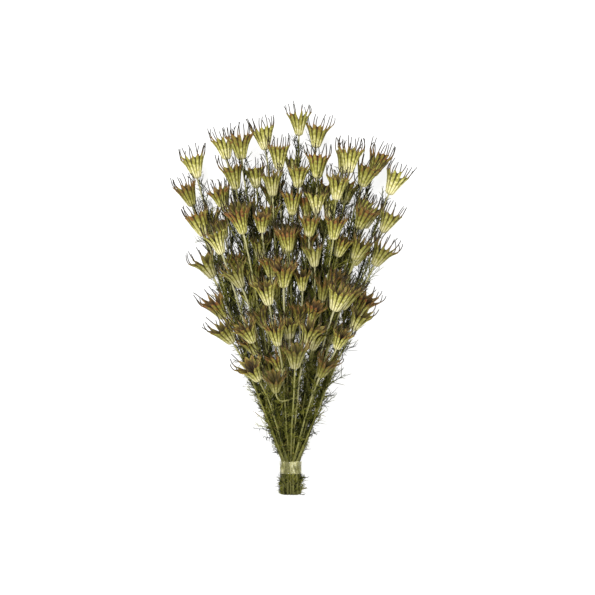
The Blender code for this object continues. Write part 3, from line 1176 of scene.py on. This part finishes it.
# Height over the tie, side, rise, length and curl
SPRIGS = (
    (94 * MM, 1, 0.65, 32 * MM, 0.25),
    (99 * MM, 1, 1.0, 18 * MM, 0.6),
    (69 * MM, 1, 0.4, 14 * MM, 1.3),
    (56 * MM, 1, 0.0, 9 * MM, 1.2),
    (36 * MM, 1, -0.2, 9 * MM, 1.4),
    (40 * MM, -1, -0.3, 11 * MM, 1.8),
    (30 * MM, -1, -0.7, 13 * MM, 1.8),
    (95 * MM, -1, 1.2, 13 * MM, 0.9),
)
sprigs = []
for over_tie, side, rise, length, curl in SPRIGS:
    places = [
        (centre, stem.name) for stem in stems for centre in paths[stem.name][0][0]
        if abs(centre.y - TIE.y - over_tie) < SAME_HEIGHT
    ]
    root, name = max(places, key=lambda place: place[0].x * side)
    way = Vector((side, rise, draw.uniform(*SPRIG_RISES))).normalized()
    sprigs.append((name, root, way, length, curl))
print(len(sprigs), "sprigs, on", sorted({name for name, *_ in sprigs}))

# %% [markdown]
# Now everything is there to grow the leaves of a stem: one on each thread of its solid, so that
# the tufts are where the solids have them, its sprigs, and those along its stalk and branch.

# %% The leaves


def stem_leaves(stem):
    """The mesh of one stem's leaves: on the solid's threads and all along its stalks."""
    threads = []
    for root, tip in stem.threads:
        way = (tip - root).normalized()
        length = (tip - root).length * TUFT_SHARE
        threads += leaf_threads(root, way, length, LEAF_RADIUS, TUFT_CURL)
    for name, root, way, length, curl in sprigs:
        if name == stem.name:
            threads += leaf_threads(root, way, length, SPRIG_RADIUS, curl)
    for path in paths[stem.name]:
        threads += leaves_along(path, stem.row)
    threads = [thread for thread in threads if misses_pods(thread)]
    return len(threads), grow_tubes([thread.tube() for thread in threads], THREAD_SIDES)


leaf_total = 0
for row, in_row in rows.items():
    solids = [stem.name for stem in in_row]
    counts, parts = zip(*(stem_leaves(stem) for stem in in_row))
    piece = finish_piece(f"row_{row}_leaves", parts, leaf_finish.material, solids)
    leaf_total += sum(counts)
    print(piece.name, sum(counts), "threads,", triangles(piece), "triangles")
print(leaf_total, "threads in all")

# %% [markdown]
# ## The tape
#
# A strip of clear tape is wound round the stalks. It is whitish, catches some light in its
# creases, has a highlight painted on as whiter, less clear patches, and the stalks show through
# it. It is a ring with a wall, whose surface is pushed in and out by a noise, and whose loose end
# makes a small step. Alpha makes it clear. Refraction would bend the stalks behind it, which a
# film as thin as tape doesn't do.

# %% The tape
TAPE_SIDES = 90
TAPE_RINGS = 11
TAPE_WALL = 0.35 * MM
CREASE = 0.35 * MM
LOOSE_END = 2.4
LOOSE_SLANT = 0.25
STEP = 0.22 * MM
NARROWER = 1.0 * MM
EDGE_WAVER = 0.5 * MM
CREASE_ROUND, CREASE_ALONG = 2.2, 1.6
# The creases' scale and share, broad ones and fine ones
CREASES = ((2.3, 0.6), (6.1, 0.4))

tape_finish = Finish("clear_tape", 0.16, 0.5)
tape_finish.shader.inputs["Base Color"].default_value = paint(206, 202, 146)
tape_place = tape_finish.tree.nodes.new("ShaderNodeTexCoord").outputs["Object"]
# Whiter, less clear patches on this noise's crests are a painted highlight, over the tape's own faint
# whitish film.
highlight_crease_noise = tape_finish.noise(1.0, 5.0, tape_finish.stretched(tape_place, (240, 110, 240)))
whitish_and_painted_highlight = tape_finish.ramp(highlight_crease_noise, (0.38, 0.06), (0.52, 0.14), (0.62, 0.46), (0.72, 0.2))
tape_finish.feed(tape_finish.shader.inputs["Alpha"], whitish_and_painted_highlight)
tape_finish.shader.inputs["Coat Weight"].default_value = 0.6
tape_finish.relief(tape_finish.noise(420, 4.0), 0.7, 0.4 * MM)

bm = new_bunch_mesh()
turn = bm.verts.layers.float["turn"]


def put_on_tape(corner, along, wall):
    """Place a corner on the tape, at a share of its width."""
    angle = corner[turn]
    out = Vector((math.cos(angle), math.sin(angle), 0))
    place = out * CREASE_ROUND + UP * along * CREASE_ALONG
    crease = sum(noise.noise(place * scale) * share for scale, share in CREASES)
    edge = noise.noise((out + UP * 9) * 3) * EDGE_WAVER
    radius = BAND_RADIUS - CREASE - STEP + crease * CREASE - wall
    if angle + along * LOOSE_SLANT < LOOSE_END:
        radius += STEP
    y = TIE.y + (along - 0.5) * (BAND_LENGTH - NARROWER) + edge * (2 * along - 1)
    z = max(TIE.z + math.sin(angle) * radius, wall)
    corner.co = Vector((TIE.x + math.cos(angle) * radius, y, z))


corners, edges = first_ring(bm, TAPE_SIDES)
ends = list(edges)
outward = [n / (TAPE_RINGS - 1) for n in range(TAPE_RINGS)]
for number, (along, wall) in enumerate(
    [(along, 0) for along in outward] + [(along, TAPE_WALL) for along in reversed(outward)]
):
    if number:
        corners, edges = next_ring(bm, edges)
    for corner in corners:
        put_on_tape(corner, along, wall)
bmesh.ops.bridge_loops(bm, edges=ends + edges)
tape = finish_piece("tape", [bm], tape_finish.material, ["tape_band"])
print("tape", triangles(tape), "triangles")

# %% [markdown]
# ## The table, the light and the camera
#
# The photograph has a white ground and soft light from all round. A pale floor carries the
# bunch. It glows a little, because a plain white floor would turn grey in the bunch's own shade.
# A white world fills the shadows, a large key lamp at the heads' left gives the pods their form,
# and a weaker fill lamp stands opposite.

# %% The table
FLOOR_HALF = 3
FLOOR_GLOW = 0.82
bm = bmesh.new()
bmesh.ops.create_grid(bm, x_segments=1, y_segments=1, size=FLOOR_HALF)
floor_mesh = bpy.data.meshes.new("floor")
bm.to_mesh(floor_mesh)
bm.free()
floor_finish = Finish("pale_floor", 0.9, 0)
floor_finish.shader.inputs["Base Color"].default_value = (0.28, 0.28, 0.28, 1)
floor_finish.shader.inputs["Emission Color"].default_value = (1, 1, 1, 1)
floor_finish.shader.inputs["Emission Strength"].default_value = FLOOR_GLOW
floor_mesh.materials.append(floor_finish.material)
floor = bpy.data.objects.new("floor", floor_mesh)
bpy.context.scene.collection.objects.link(floor)
floor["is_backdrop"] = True
print(f"a floor {FLOOR_HALF * 2} m wide")

# %% The light
WORLD_LIGHT = 0.68
world = bpy.data.worlds.new("studio")
bpy.context.scene.world = world
world.use_nodes = True
world.node_tree.nodes["Background"].inputs["Color"].default_value = (1, 1, 1, 1)
world.node_tree.nodes["Background"].inputs["Strength"].default_value = WORLD_LIGHT


def add_lamp(name, place, size, power):
    """A square lamp that looks at the middle of the bunch."""
    light = bpy.data.lights.new(name, "AREA")
    light.size = size
    light.energy = power
    lamp = bpy.data.objects.new(name, light)
    bpy.context.scene.collection.objects.link(lamp)
    lamp.location = place
    lamp.rotation_mode = "QUATERNION"
    lamp.rotation_quaternion = (-lamp.location).to_track_quat("-Z", "Y")
    print(f"{name} lamp, {power} W")


add_lamp("key", Vector((-0.6, 0.45, 1.7)), 0.8, 35)
add_lamp("fill", Vector((0.9, -0.5, 1.5)), 1.2, 12)
bpy.context.scene.view_settings.view_transform = "Standard"

# %% [markdown]
# The camera hangs straight above, far away and with a long lens, so that heights hardly show.
# The photograph's 595 pixels, at 1.2 mm each, give the width of its frame.

# %% The camera
FRAME_WIDTH = 0.714
FRAME_OVER_TIE = Vector((8.4, 206.4, 35.8)) * MM
SENSOR = 36
LENS = 120
camera_data = bpy.data.cameras.new("camera")
camera_data.sensor_width = SENSOR
camera_data.lens = LENS
camera = bpy.data.objects.new("camera", camera_data)
bpy.context.scene.collection.objects.link(camera)
distance = FRAME_WIDTH * LENS / SENSOR
camera.location = TIE + FRAME_OVER_TIE + UP * distance
bpy.context.scene.camera = camera
print(f"camera {distance:.2f} m above the bunch")

# %% [markdown]
# ## The size
#
# The dressed bunch has to keep the solids' box, give or take a horn's tip. Both boxes are
# printed side by side.

# %% Print both boxes
low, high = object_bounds()
for name, a, b in (("cad", cad_low, cad_high), ("visual", low, high)):
    print(name, [round(v / MM, 1) for v in (*a, *b)])
